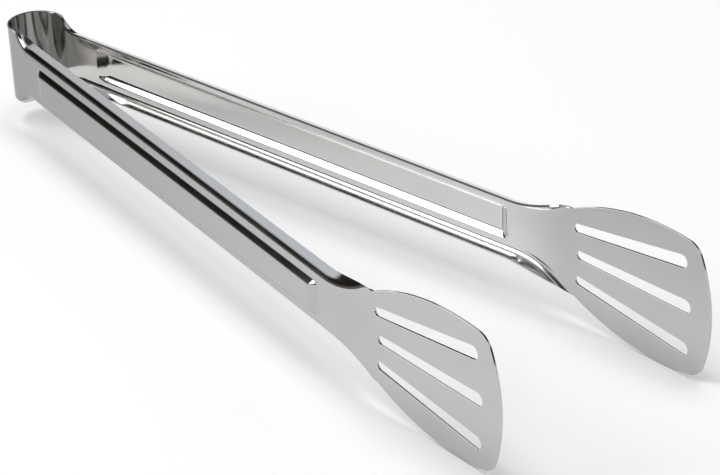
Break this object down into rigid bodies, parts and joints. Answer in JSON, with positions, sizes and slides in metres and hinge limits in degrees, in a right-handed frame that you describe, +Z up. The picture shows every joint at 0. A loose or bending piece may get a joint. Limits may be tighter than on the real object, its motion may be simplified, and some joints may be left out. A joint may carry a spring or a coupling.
{
  "type": "kitchen tongs",
  "caption": "One-piece spring tongs: a flat strip bow, channel arms with a pressed panel, and flat fan-slotted blades.",
  "frame": {"origin": "under the middle of the tongs' overall box, at the height of their lowest edge", "axes": "+X forwards from the bow to the blades, +Y to the left across the gap, +Z up across the width of the strip"},
  "size_m": [0.3, 0.0778, 0.0448],
  "materials": {
    "polished_strip": "polished",
    "satin_blade": "fine satin"
  },
  "bodies": {
    "bow": {"spring_bow": "polished_strip"},
    "left_side": {"left_arm": "polished_strip", "left_blade": "satin_blade"},
    "right_side": {"right_arm": "polished_strip", "right_blade": "satin_blade"}
  },
  "joints": [
    {"name": "left_flex", "type": "hinge", "parent": "bow", "child": "left_side", "pos_m": [-0.14674, 0.00557, 0.0224], "axis": [0, 0, -1], "range_deg": [-3, 7.25], "stiffness_Nm_per_rad": 17, "deforming": ["spring_bow"]},
    {"name": "right_flex", "type": "hinge", "parent": "bow", "child": "right_side", "pos_m": [-0.14674, -0.00557, 0.0224], "axis": [0, 0, 1], "range_deg": [-3, 7.25], "stiffness_Nm_per_rad": 17, "deforming": ["spring_bow"]}
  ],
  "couplings": [
    {"joint": "right_flex", "follows": "left_flex", "ratio": 1}
  ]
}
